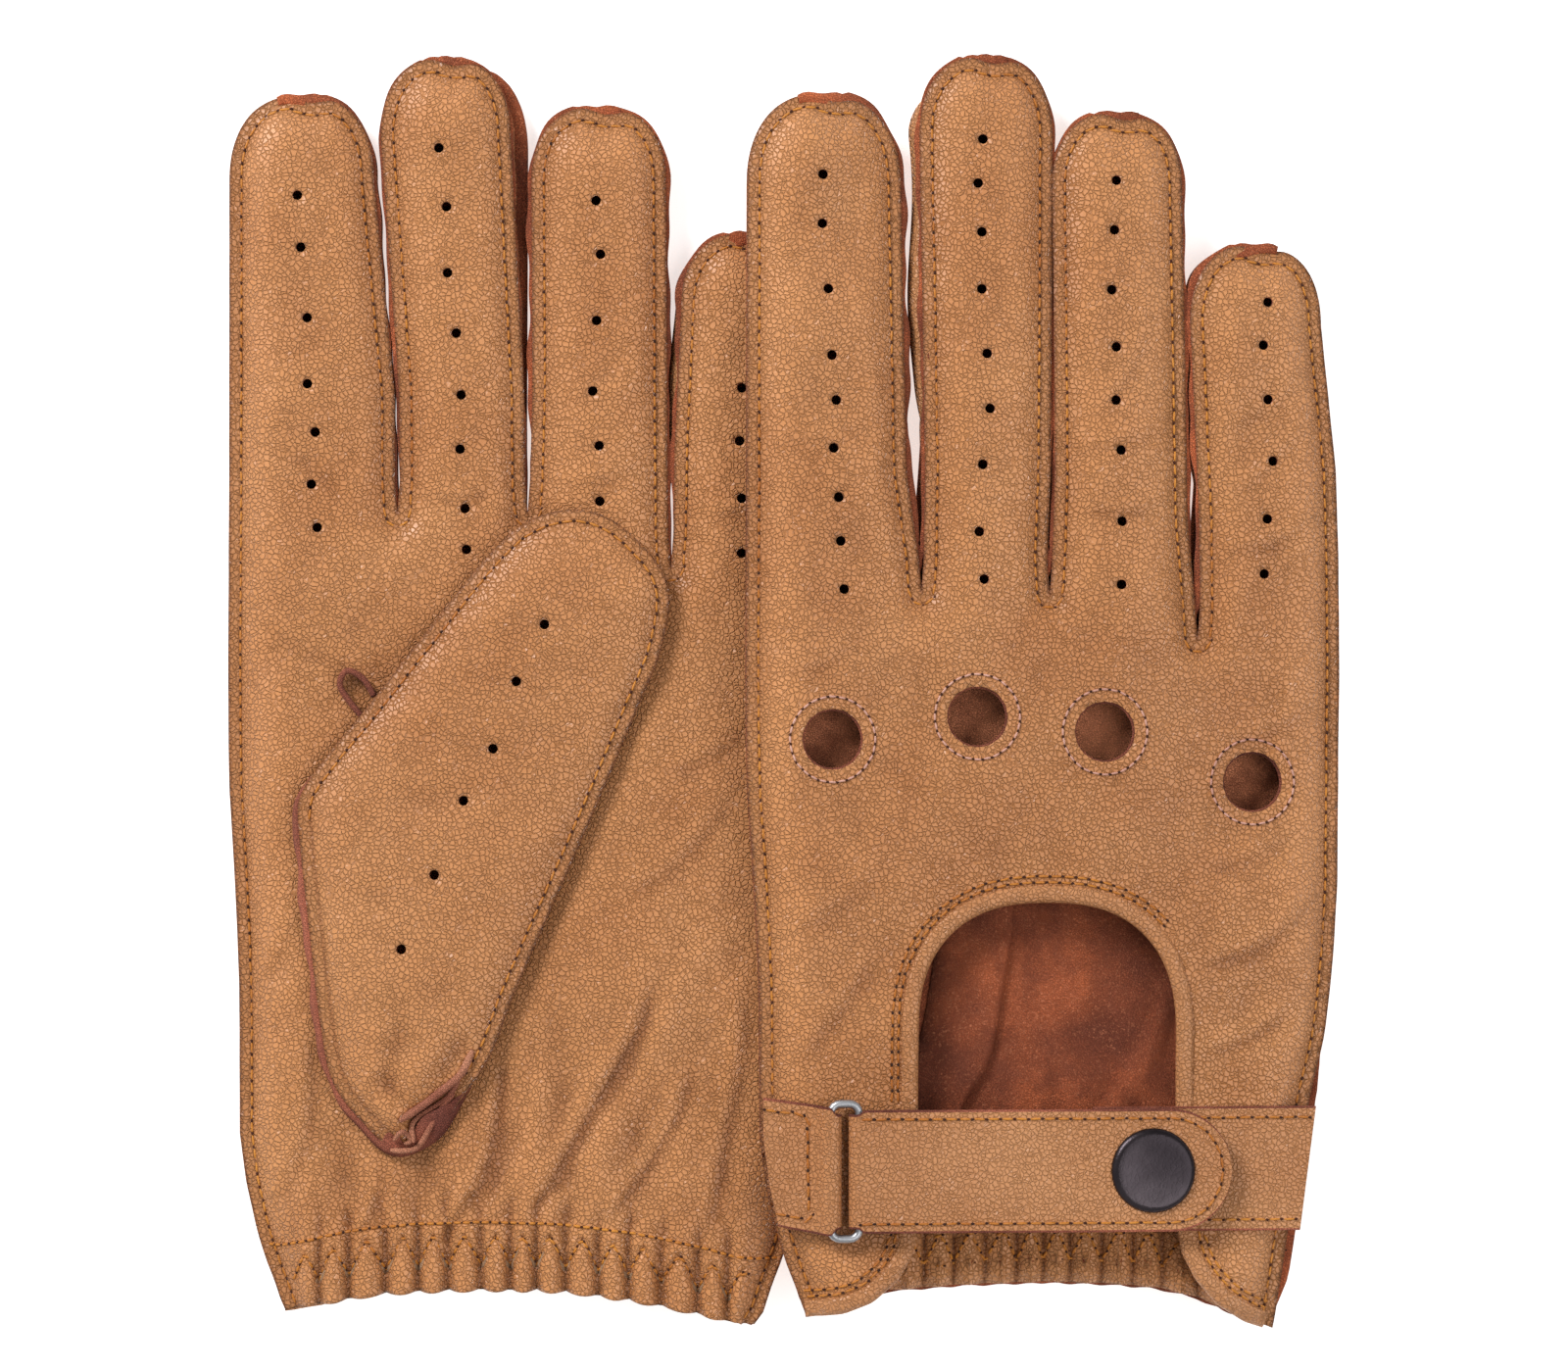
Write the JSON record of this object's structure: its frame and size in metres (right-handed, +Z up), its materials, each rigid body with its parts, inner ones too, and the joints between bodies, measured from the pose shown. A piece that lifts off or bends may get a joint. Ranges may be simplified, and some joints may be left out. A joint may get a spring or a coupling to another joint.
{
  "type": "leather driving gloves",
  "caption": "Pair of tan leather driving gloves laid one over the other, with open knuckles, an open wrist and a ringed snap strap.",
  "frame": {"origin": "centre of the bounding box on its underside", "axes": "+X from the left-hand glove to the right-hand glove, +Y to the fingertips, +Z up from the table"},
  "size_m": [0.2025, 0.2308, 0.0237],
  "materials": {
    "tan_leather": "semi-matt tan nappa with fine grain",
    "suede_leather": "matt reddish-brown flesh side",
    "elastic": "woven elastic",
    "snap_metal": "satin steel",
    "cap_metal": "gunmetal, worn on the rim",
    "ring_steel": "smooth steel wire"
  },
  "bodies": {
    "left_glove": {"left_back_panel": "tan_leather", "left_back_edge": "tan_leather", "left_palm_panel": "tan_leather", "left_palm_edge": "tan_leather", "left_fourchette_1": "suede_leather", "left_fourchette_2": "suede_leather", "left_fourchette_3": "suede_leather", "left_thumb_front": "tan_leather", "left_thumb_back": "tan_leather", "left_wrist_binding": "tan_leather", "left_knuckle_facings": "suede_leather", "left_cuff_elastic": "elastic", "left_ring_tab": "tan_leather", "left_strap_base": "tan_leather", "left_snap_stud": "snap_metal"},
    "left_ring": {"left_oval_ring": "ring_steel"},
    "left_strap_body": {"left_strap": "tan_leather", "left_snap_cap": "cap_metal", "left_snap_socket": "snap_metal"},
    "right_glove": {"right_back_panel": "tan_leather", "right_back_edge": "tan_leather", "right_palm_panel": "tan_leather", "right_palm_edge": "tan_leather", "right_fourchette_1": "suede_leather", "right_fourchette_2": "suede_leather", "right_fourchette_3": "suede_leather", "right_thumb_front": "tan_leather", "right_thumb_back": "tan_leather", "right_wrist_binding": "tan_leather", "right_knuckle_facings": "suede_leather", "right_cuff_elastic": "elastic", "right_ring_tab": "tan_leather", "right_strap_base": "tan_leather", "right_snap_stud": "snap_metal"},
    "right_ring": {"right_oval_ring": "ring_steel"},
    "right_strap_body": {"right_strap": "tan_leather", "right_snap_cap": "cap_metal", "right_snap_socket": "snap_metal"}
  },
  "joints": [
    {"name": "right_glove_lift", "type": "slide", "parent": "left_glove", "child": "right_glove", "axis": [0, 0, 1], "range_m": [0, 0.15]},
    {"name": "left_ring_swivel", "type": "hinge", "parent": "left_glove", "child": "left_ring", "pos_m": [-0.0867, -0.0872, 0.00305], "axis": [0, 0.9997, -0.0254], "range_deg": [0, 35]},
    {"name": "left_strap_open", "type": "hinge", "parent": "left_ring", "child": "left_strap_body", "pos_m": [-0.0816, -0.0872, 0.00305], "axis": [0, 0.9997, -0.0254], "range_deg": [0, 120]},
    {"name": "right_ring_swivel", "type": "hinge", "parent": "right_glove", "child": "right_ring", "pos_m": [0.0084, -0.08685, 0.02163], "axis": [0, -0.9997, 0.0254], "range_deg": [0, 35]},
    {"name": "right_strap_open", "type": "hinge", "parent": "right_ring", "child": "right_strap_body", "pos_m": [0.01348, -0.08685, 0.02127], "axis": [0, -0.9997, 0.0254], "range_deg": [0, 120]}
  ]
}
